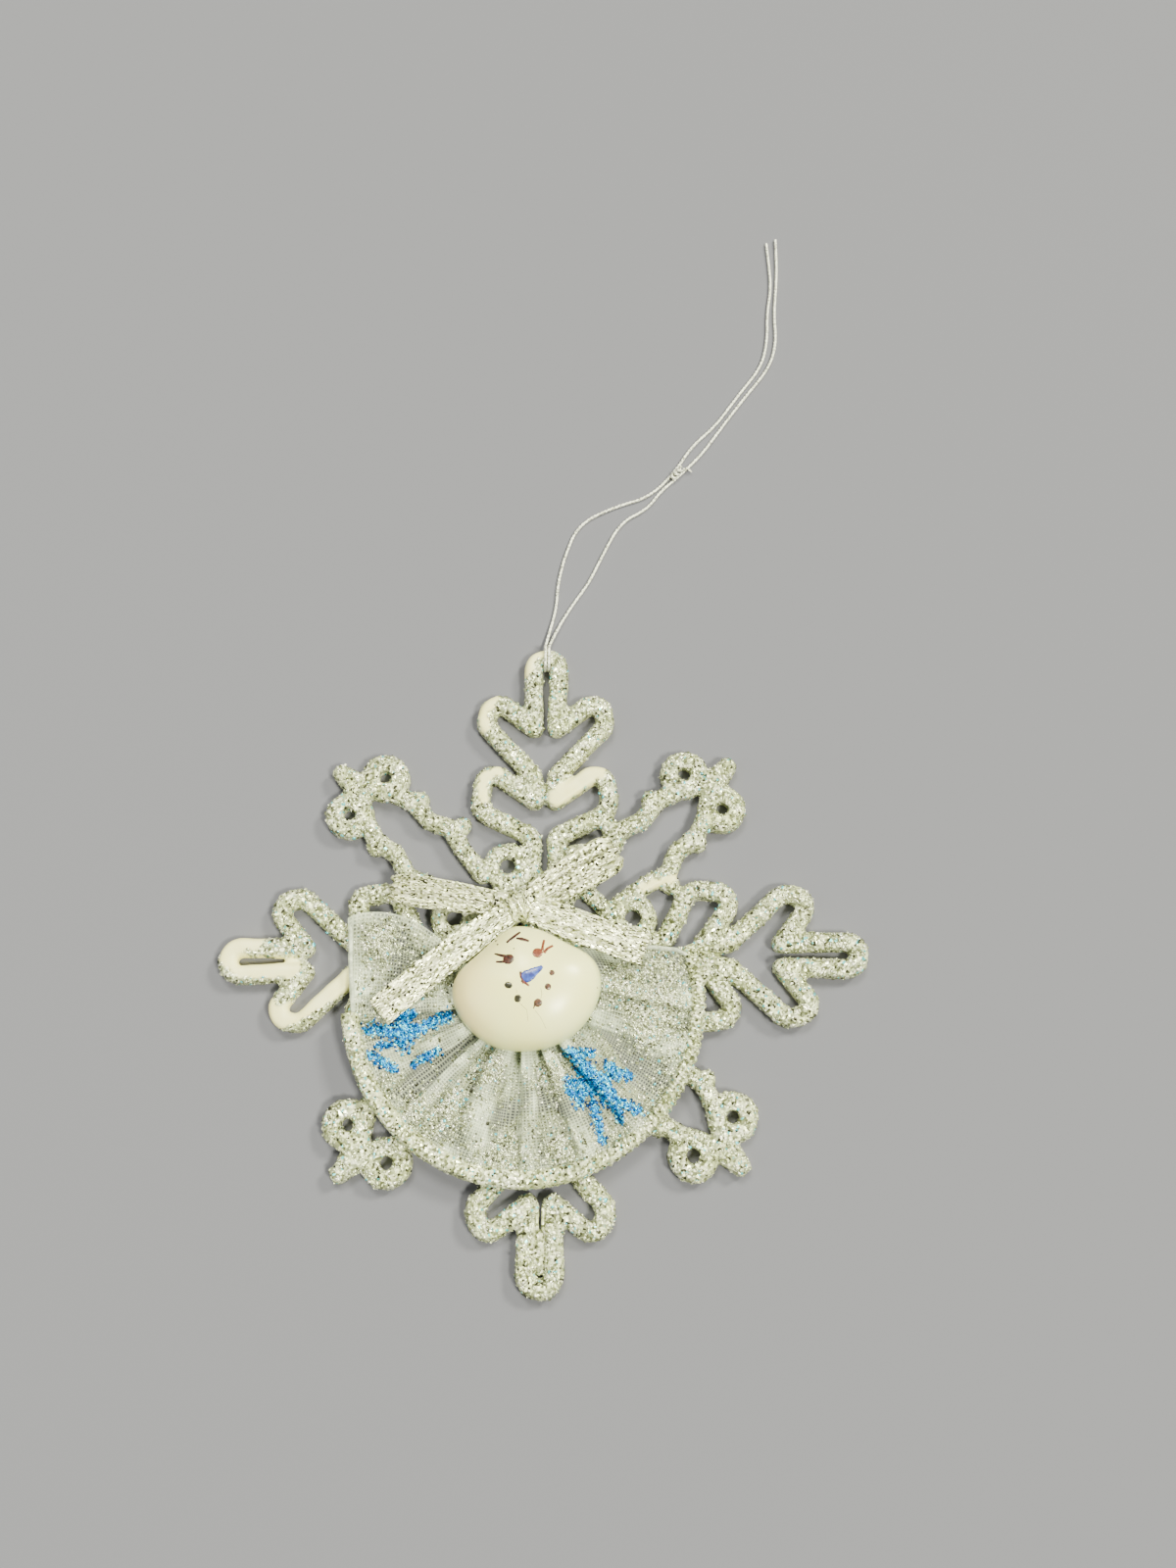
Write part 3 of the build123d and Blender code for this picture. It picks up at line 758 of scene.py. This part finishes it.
# hem: a puffy glittered band that turns to twisted cord on the right
HEM_REACH = 30.2
HEM_Z = 4.15
HEM_TWIST = 2.6             # pitch of the cord
hem_turns = np.radians(np.linspace(HEM_START, FAN_END, 900))
hem_line = np.array([fan_point(HEM_REACH, t, HEM_Z) for t in hem_turns]) * MM
hem_step = HEM_REACH * MM * (hem_turns[1] - hem_turns[0])


def hem_radius(i, angle):
    share = i / (len(hem_turns) - 1)
    cord_like = np.clip((share - 0.45) / 0.2, 0, 1)
    twist = math.cos(2 * (angle - 2 * math.pi * i * hem_step / (HEM_TWIST * MM)))
    flat = 1.16 if abs(math.cos(angle)) > 0.5 else 0.95
    base = (1.42 - 0.34 * cord_like) * flat + 0.20 * cord_like * twist
    base += 0.10 * (1 - cord_like) * noise.noise((i * 0.06, math.cos(angle), math.sin(angle)))
    return base * MM


hem = tube("ruffle_hem_band", hem_line, hem_radius, around=18)
dress(hem, glitter_material("hem_glitter", 0.36 * MM), replaces=["ruffle_hem"])
places, facing = scatter(hem, HEM_FLAKES, up=0.0)
hem_flakes = flakes("hem_flakes", places, facing, (0.25 * MM, 0.5 * MM), 0.45, lift=0.03 * MM)
dress(hem_flakes, silver_flake)

# folded selvedge on the left and the turned-in end on the right
selvedge, tree, shader = new_material("folded_organza", Roughness=0.4, Sheen_Weight=0.3)
place = object_place(tree)
fibres = clouds(tree, place, 900.0)
fibre_tones = ramp(tree, fibres, [(0.3, (0.40, 0.46, 0.36)), (0.7, (0.76, 0.82, 0.66))])
wire(shader, Base_Color=fibre_tones)
wire(shader, Alpha=ranged(tree, fibres, 0.3, 0.7, 0.45, 0.95))
wire(shader, Normal=bumped(tree, fibres, 0.6, 0.1 * MM))


def cloth_strip(name, line, half, lift, curl):
    """A narrow folded strip of cloth along a line given in mm."""
    line = evenly(np.array(line) * MM, 0.5 * MM)
    sides, ups = path_frames(line)
    section = np.linspace(-1, 1, 9)
    made = []
    for i, centre in enumerate(line):
        for s in section:
            fray = 1 + 0.12 * noise.noise((i * 0.3, s * 2, 7.5))
            made.append(
                centre + s * half * MM * fray * sides[i]
                + (lift + curl * (1 - s * s) + 0.08 * noise.noise((i * 0.4, s * 3, 1.5))) * MM * ups[i]
            )
    strip = add_mesh(name, made, grid_faces(len(line), len(section)))
    thick = strip.modifiers.new("thickness", "SOLIDIFY")
    thick.thickness = 0.12 * MM
    return applied(strip)


hem_end = fan_point(CLOTH_OUT, math.radians(HEM_START), 4.3)
left_edge = cloth_strip(
    "ruffle_selvedge", [(-33.9, 5.8, 4.4), (-33.5, -2.0, 4.5), (hem_end[0] + 0.2, hem_end[1], 4.4)],
    0.42, 0.2, 0.25,
)
dress(left_edge, selvedge)
right_edge = cloth_strip(
    "ruffle_end_fold",
    [(14.0, 0.7, 4.9), (19.0, 0.9, 4.9), (23.4, 0.5, 4.8), (25.2, -0.4, 4.6), (25.8, -2.4, 4.5)],
    0.4, 0.1, 0.3,
)
dress(right_edge, selvedge)

# ------------------------------------------------------------------ bow
ribbon_silver, tree, shader = new_material("woven_ribbon", Metallic=0.55)
strip_uv = put(tree, "ShaderNodeUVMap", uv_map="strip").outputs[0]
GRAIN_LENGTH, GRAIN_WIDTH = 0.44 * MM, 0.25 * MM
stretched = put(
    tree, "ShaderNodeVectorMath", [(0, strip_uv), (1, (1 / GRAIN_LENGTH, 1 / GRAIN_WIDTH, 1.0))],
    operation="MULTIPLY",
).outputs[0]
grain = cell_colour(tree, stretched, 1.0, 0.55)
red, green = channels(tree, grain)[:2]
woven = ramp(tree, red, [
    (0.0, (0.02, 0.02, 0.01)), (0.10, (0.28, 0.30, 0.14)), (0.24, (0.66, 0.69, 0.40)),
    (0.50, (1.0, 1.0, 0.72)), (0.93, (0.44, 0.48, 0.28)),
], constant=True)
# painted shade: dark lines along the ribbon's grooves, broken up by the weave's cells
groove = vertex_value(tree, "groove")
groove_shade = math_node(tree, "MULTIPLY", groove, ranged(tree, green, 0.2, 0.8, 1.0, 0.35))
wire(shader, Base_Color=mixed(tree, groove_shade, woven, (0.10, 0.10, 0.06, 1)))
wire(shader, Roughness=ranged(tree, green, 0.0, 1.0, 0.2, 0.5))
wire(shader, Normal=tilted_normal(tree, grain, 0.6))


RIBBON_STEP = 0.35
RIBBON_HALF = 3.175         # half of the ribbon's woven width
ACROSS = 28                 # points from edge to edge
FLUTTER = 0.12


def ribbon(name, line, width, creases, seed, thickness=0.16, grooves=()):
    """Ribbon along a line in mm; width and creases follow the share along it, grooves run its length and are
    darkened with painted shade.
    """
    line = evenly(np.array(line) * MM, RIBBON_STEP * MM)
    sides, ups = path_frames(line)
    made, uv, dark = [], [], []
    length = RIBBON_STEP * MM * (len(line) - 1)
    for i, centre in enumerate(line):
        share = i / (len(line) - 1)
        half = width(share) / 2
        for k in range(ACROSS):
            s = 2 * k / (ACROSS - 1) - 1
            fray = 0.06 * noise.noise((i * 0.8, 3.0 * (s > 0), seed)) if abs(s) > 0.9 else 0
            bend = creases(share, s) + FLUTTER * noise.noise((share * 7, s * 1.6, seed))
            made.append(centre + s * (half + fray) * MM * sides[i] + bend * MM * ups[i])
            uv.append((length * share, s * RIBBON_HALF * MM + seed * 0.01))
            # how deep in a groove each point lies, for the painted shade there
            wander = 0.10 * noise.noise((share * 6, 2.0, seed))
            dark.append(max([math.exp(-((s + wander - g) / 0.075) ** 2) for g in grooves], default=0.0))
    strip = add_mesh(name, made, grid_faces(len(line), ACROSS))
    set_uv(strip, uv)
    set_value(strip, "groove", dark)
    thick = strip.modifiers.new("thickness", "SOLIDIFY")
    thick.thickness = thickness * MM
    thick.offset = 0
    return applied(strip)


KNOT = (-4.2, 8.1)
LEFT_LOOP, RIGHT_LOOP, LEFT_TAIL, RIGHT_TAIL = 171.3, 30.8, 219.6, -19.1     # directions in degrees


def loop_width(knot, middle):
    """Width along a loop: pinched at the knot, full in the middle and rounded at the far bend."""
    def at(t):
        out = min(t, 1 - t) * 2
        round_end = math.sqrt(1 - 0.55 * max(0.0, (out - 0.82) / 0.18) ** 2)
        return (knot + (middle - knot) * math.sin(math.pi / 2 * min(1.0, 1.3 * out)) ** 0.8) * round_end
    return at


def from_knot(turn, reach, side, z):
    """A point of the bow: reach along a direction from the knot, then sideways to the left."""
    t = math.radians(turn)
    c, s = math.cos(t), math.sin(t)
    return (KNOT[0] + reach * c - side * s, KNOT[1] + reach * s + side * c, z)


def tail_line(turn, stations):
    """A tail's route, from its (reach, side, z) stations."""
    return [from_knot(turn, *station) for station in stations]


def loop_line(turn, reach):
    """A flattened loop: out along the top, round the end and back below."""
    run = []
    for i in range(60):
        share = i / 59
        if share < 0.45:
            out = share / 0.45
            run.append(from_knot(turn, 2.4 + (reach - 3.4) * out, 0.0, 4.9 + 0.35 * math.sin(math.pi * out)))
        elif share < 0.55:
            bend = math.pi * (share - 0.45) / 0.10
            run.append(from_knot(turn, reach - 1.0 + 0.9 * math.sin(bend), 0.0, 4.3 + 0.6 * math.cos(bend)))
        else:
            home = (share - 0.55) / 0.45
            run.append(from_knot(turn, reach - 1.0 - (reach - 3.4) * home, 0.0, 3.7))
    return run


left_loop = ribbon(
    "bow_loop_left", loop_line(LEFT_LOOP, 23.2), loop_width(3.8, 5.4),
    lambda t, s: 0.34 * math.cos(2 * math.pi * s) * (0.5 + min(t, 1 - t)), seed=1.0, grooves=(0.45, -0.05),
)
right_loop = ribbon(
    "bow_loop_right", loop_line(RIGHT_LOOP, 20.2), loop_width(4.4, 7.3),
    lambda t, s: 0.36 * math.cos(2.6 * math.pi * s + 0.6) * (0.5 + min(t, 1 - t)), seed=2.0,
    grooves=(-0.62, -0.2, 0.3, 0.7),
)
left_tail = ribbon(
    "bow_tail_left",
    tail_line(LEFT_TAIL, [
        (2.2, 0.0, 5.9), (6.0, -0.5, 6.0), (14.0, -0.8, 5.95), (22.0, -0.9, 5.95), (30.4, -0.8, 5.9),
    ]),
    lambda t: 4.6 + 0.8 * min(1, 3 * t),
    lambda t, s: 0.22 * math.cos(1.5 * math.pi * s + 0.8) + 0.9 * max(0.0, -s - 0.7) * (t < 0.62), seed=3.0,
)
right_tail = ribbon(
    "bow_tail_right",
    tail_line(RIGHT_TAIL, [
        (2.2, 0.1, 5.9), (6.0, 0.1, 6.2), (12.0, -0.1, 6.3), (18.0, -0.2, 6.05), (23.6, -0.2, 5.9),
    ]),
    lambda t: 4.7 + 1.0 * min(1, 3 * t),
    lambda t, s: 0.2 * math.cos(1.5 * math.pi * s - 0.5) + 0.9 * max(0.0, s - 0.7) * (t < 0.8), seed=4.0,
)
for piece, node in (
    (left_loop, "bow_left_loop"), (right_loop, "bow_right_loop"), (left_tail, "bow_left_tail"),
    (right_tail, "bow_right_tail"),
):
    dress(piece, ribbon_silver, replaces=[node])

# knot: a ribbon pulled tight over the crossing, and the pinched ribbon beneath it
wrap_line = []
for i in range(40):
    turn = math.pi * (i / 39)
    wrap_line.append(from_knot(115.0, 2.7 * math.cos(turn), 0.0, 3.9 + 2.45 * math.sin(turn) ** 0.7))
wrap = ribbon(
    "bow_knot_wrap", wrap_line, lambda t: 4.6 + 0.8 * math.cos(2 * math.pi * t),
    lambda t, s: 0.25 * math.cos(2.4 * math.pi * s + 0.4) - 0.35 * s * s, seed=5.0,
)
pinched = ribbon(
    "bow_knot_core",
    [from_knot(LEFT_LOOP, 4.6, 0, 4.6), from_knot(LEFT_LOOP, 2.0, 0, 5.0), from_knot(LEFT_LOOP, 0, 0, 5.2),
     from_knot(30.5, 2.0, 0, 5.0), from_knot(30.5, 4.6, 0, 4.7)],
    lambda t: 3.6, lambda t, s: 0.3 * math.cos(3 * math.pi * s), seed=6.0, thickness=1.4,
)
dress(wrap, ribbon_silver, replaces=["bow_knot"])
dress(pinched, ribbon_silver)

# ------------------------------------------------------------------ shell head
shell_glaze, tree, shader = new_material(
    "painted_shell", Coat_Weight=0.5, Coat_Roughness=0.25, Roughness=0.36, Subsurface_Weight=0.08,
    Subsurface_Radius=(0.002, 0.0015, 0.001),
)
place = object_place(tree)
split = put(tree, "ShaderNodeSeparateXYZ", [(0, place)]).outputs
blur = clouds(tree, place, 90.0)
left_share = ranged(tree, split[0], -6 * MM, -15 * MM, 0.0, 0.85)
# painted shade: lower down the dome, towards its rim, the cream is mixed towards a darker, greener tone
low_share = ranged(tree, split[2], 8.6 * MM, 5.6 * MM, 0.0, 0.8)
glow = ramp(tree, blur, [(0.3, (1.0, 0.95, 0.38)), (0.7, (1.0, 1.0, 0.50))])
pink = math_node(tree, "MULTIPLY", left_share, ranged(tree, blur, 0.3, 0.7, 0.5, 1.0))
blush = mixed(tree, pink, glow, (1.0, 0.70, 0.34, 1))
low_painted_shade = math_node(tree, "MULTIPLY", low_share, ranged(tree, blur, 0.3, 0.7, 0.6, 1.0))
shaded = mixed(tree, low_painted_shade, blush, (0.66, 0.76, 0.38, 1))
wire(shader, Base_Color=shaded)
ridges = clouds(tree, place, 350.0, 4.0)
wire(shader, Normal=bumped(tree, ridges, 0.08, 0.1 * MM))
nodes["shell_head"].material_slots[0].material = shell_glaze
shell_tree = tree_of(nodes["shell_head"])


def paint_material(name, dark, light, scale=2500.0):
    """Brushed paint with a slightly uneven coat."""
    material, tree, shader = new_material(name, Roughness=0.35, Coat_Weight=0.4)
    streaks = clouds(tree, object_place(tree), scale)
    wire(shader, Base_Color=ramp(tree, streaks, [(0.35, dark), (0.65, light)]))
    wire(shader, Normal=bumped(tree, streaks, 0.3, 0.03 * MM))
    return material


def stroke(line, widths, height=0.07):
    """A painted stroke laid on the shell: vertices and faces of a low domed strip, line in mm."""
    line = np.array(line, float)
    along = np.r_[0, np.cumsum(np.linalg.norm(np.diff(line, axis=0), axis=1))]
    count = max(8, int(along[-1] / 0.12))
    wanted = np.linspace(0, along[-1], count)
    xs, ys = (np.interp(wanted, along, line[:, k]) for k in (0, 1))
    half = np.interp(wanted, along, widths) / 2
    dx, dy = np.gradient(xs), np.gradient(ys)
    size = np.hypot(dx, dy)
    section = np.linspace(-1, 1, 7)
    top, bottom = [], []
    for i in range(count):
        for s in section:
            wobble = 1 + 0.16 * noise.noise((xs[i] * 2.2, ys[i] * 2.2, s))
            x = (xs[i] - s * half[i] * wobble * dy[i] / size[i]) * MM
            y = (ys[i] + s * half[i] * wobble * dx[i] / size[i]) * MM
            hit, normal, _, _ = shell_tree.ray_cast(Vector((x, y, 0.05)), Vector((0, 0, -1)))
            normal = Vector((0, 0, 1)) if hit is None else normal
            hit = Vector((x, y, 0.0065)) if hit is None else hit
            rise = height * MM * (1 - s * s) ** 0.5 * min(1, 3 * half[i] + 0.2)
            top.append(tuple(hit + normal * (rise + 0.004 * MM)))
            bottom.append(tuple(hit - normal * 0.03 * MM))
    n = len(top)
    faces = grid_faces(count, len(section))
    under = [tuple(n + v for v in reversed(f)) for f in faces]
    w = len(section)
    rim = [i * w for i in range(count)] + [(count - 1) * w + k for k in range(1, w)]
    rim += [i * w + w - 1 for i in range(count - 2, -1, -1)] + [k for k in range(w - 2, 0, -1)]
    sides = [(a, b, n + b, n + a) for a, b in zip(rim, rim[1:] + rim[:1])]
    return top + bottom, faces + under + sides


def painted(name, strokes, material):
    verts, faces = [], []
    for line, widths in strokes:
        more, polygons = stroke(line, widths)
        faces += [tuple(len(verts) + v for v in f) for f in polygons]
        verts += more
    obj = add_mesh(name, verts, faces)
    return dress(obj, material)


def dot(x, y, radius, stretch=1.0, turn=0.0):
    """A round dab of paint, as a short stroke that swells and closes."""
    t = math.radians(turn)
    reach = radius * stretch
    stations = np.linspace(-1, 1, 13)
    line = [(x + reach * s * math.cos(t), y + reach * s * math.sin(t)) for s in stations]
    return line, [max(0.06, 2 * radius * math.sqrt(max(0.0, 1 - s * s))) for s in stations]


painted("face_brows", [
    ([(-5.9, 0.75), (-4.7, 1.8), (-3.65, 2.7)], [0.46, 0.52, 0.42]),
    ([(-4.25, 1.5), (-3.3, 1.35), (-2.05, 0.95)], [0.36, 0.62, 0.40]),
], paint_material("brow_paint", (0.012, 0.003, 0.002), (0.07, 0.016, 0.010)))
painted("face_left_eye", [
    dot(-5.45, -2.25, 0.88, 1.12, 25),
    ([(-5.8, -1.75), (-6.8, -1.55), (-7.95, -1.15)], [0.52, 0.52, 0.24]),
    ([(-5.9, -2.65), (-6.7, -2.7), (-7.6, -2.65)], [0.46, 0.42, 0.30]),
], paint_material("eye_paint", (0.010, 0.003, 0.002), (0.09, 0.024, 0.016)))
painted("face_right_eye", [
    dot(-0.55, -1.15, 0.86, 1.05, 10),
    ([(0.2, -0.7), (0.3, 0.3), (0.5, 1.3)], [0.55, 0.42, 0.44]),
    ([(0.5, -1.1), (1.1, -0.3), (2.0, 0.3)], [0.60, 0.46, 0.44]),
], paint_material("right_eye_paint", (0.10, 0.016, 0.007), (0.28, 0.08, 0.04)))
painted("face_nose", [
    ([(-2.95, -5.65), (-2.7, -5.5), (-2.1, -5.2), (-1.2, -4.6), (-0.1, -3.85), (0.3, -3.5)],
     [1.0, 1.9, 2.1, 1.6, 0.9, 0.5]),
], paint_material("nose_paint", (0.008, 0.018, 0.20), (0.045, 0.10, 0.50), 1500.0))
painted("face_nose_line", [
    ([(-3.35, -4.45), (-3.25, -5.3), (-2.75, -6.2), (-1.85, -6.85)], [0.44, 0.40, 0.46, 0.32]),
    ([(-3.1, -5.9), (-2.7, -6.4)], [0.5, 0.5]),
], paint_material("nose_line_paint", (0.05, 0.006, 0.006), (0.20, 0.04, 0.03)))
painted("face_mouth_left", [
    dot(-5.35, -6.75, 0.56, 1.25, -10), dot(-3.75, -8.95, 0.58, 1.15, 60),
], paint_material("mouth_dark", (0.008, 0.010, 0.004), (0.045, 0.038, 0.018)))
painted("face_mouth_right", [
    dot(-0.35, -9.65, 0.66, 1.1, 20), ([(-0.8, -9.8), (-1.1, -10.6)], [0.4, 0.14]),
    dot(1.3, -6.95, 0.54, 1.05, 30), dot(1.95, -4.6, 0.48, 1.0, 0),
], paint_material("mouth_brown", (0.025, 0.008, 0.004), (0.12, 0.045, 0.02)))
painted("face_specks", [
    dot(-7.5, 0.55, 0.17), dot(-4.6, -0.4, 0.13), dot(-7.9, 1.35, 0.15, 1.8, 30), dot(9.6, -6.6, 0.10),
], paint_material("speck_paint", (0.012, 0.012, 0.006), (0.06, 0.05, 0.03)))
painted("shell_hairlines", [
    ([(-3.6, -9.4), (-2.9, -10.2), (-2.2, -10.8), (-2.0, -12.6)], [0.09, 0.07, 0.08, 0.05]),
    ([(0.1, -7.2), (0.3, -8.2), (0.1, -9.0)], [0.06, 0.08, 0.05]),
    ([(-4.0, -7.2), (-3.9, -8.0)], [0.05, 0.07]),
    ([(-0.8, -10.9), (0.1, -12.0), (1.0, -13.8)], [0.07, 0.05, 0.05]),
], paint_material("hairline", (0.22, 0.20, 0.08), (0.42, 0.38, 0.18)))

# ------------------------------------------------------------------ glue and the hidden thread
glue, tree, shader = new_material(
    "hot_glue", Roughness=0.25, Transmission_Weight=0.5, IOR=1.48, Coat_Weight=0.3,
)
wisps = clouds(tree, object_place(tree), 600.0)
wisp_tones = ramp(tree, wisps, [(0.3, (0.82, 0.82, 0.70)), (0.7, (0.95, 0.95, 0.88))])
wire(shader, Base_Color=wisp_tones)
wire(shader, Normal=bumped(tree, wisps, 0.5, 0.2 * MM))
for name in ("ruffle_glue", "shell_glue", "bow_glue"):
    nodes[name].material_slots[0].material = glue
white_thread = thread_material("white_thread", (0.82, 0.82, 0.80), (0.5, 0.5, 0.48))
nodes["gathering_thread"].material_slots[0].material = white_thread

# ------------------------------------------------------------------ stage
floor = add_mesh("floor", [(-2, -2, 0), (2, -2, 0), (2, 2, 0), (-2, 2, 0)], [(0, 1, 2, 3)], smooth=False)
paper, tree, shader = new_material("floor_paper", Roughness=0.9, Base_Color=(0.15, 0.15, 0.188, 1))
floor.data.materials.append(paper)
floor.location.z = -0.05 * MM
floor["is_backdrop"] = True


def soft_light(name, place, spread, strength, colour):
    """A distant soft light that shines from a place towards the middle of the ornament."""
    data = bpy.data.lights.new(name, "SUN")
    data.angle = math.radians(spread)
    data.energy = strength
    data.color = colour
    light = bpy.data.objects.new(name, data)
    scene.collection.objects.link(light)
    light.location = place
    light.rotation_euler = (-Vector(place)).to_track_quat("-Z", "Y").to_euler()


soft_light("key", (0.26, -0.17, 0.46), 12.0, 5.2, (1.0, 1.0, 0.76))
soft_light("top", (-0.05, 0.28, 0.50), 20.0, 3.4, (1.0, 1.0, 0.78))
soft_light("right", (0.34, 0.24, 0.34), 12.0, 4.4, (1.0, 1.0, 0.76))
soft_light("left", (-0.40, -0.10, 0.34), 40.0, 0.9, (0.97, 1.0, 0.84))
world = bpy.data.worlds.new("studio")
scene.world = world
world.use_nodes = True
world.node_tree.nodes["Background"].inputs["Color"].default_value = (1.0, 1.0, 0.92, 1)
world.node_tree.nodes["Background"].inputs["Strength"].default_value = 0.12

low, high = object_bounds()
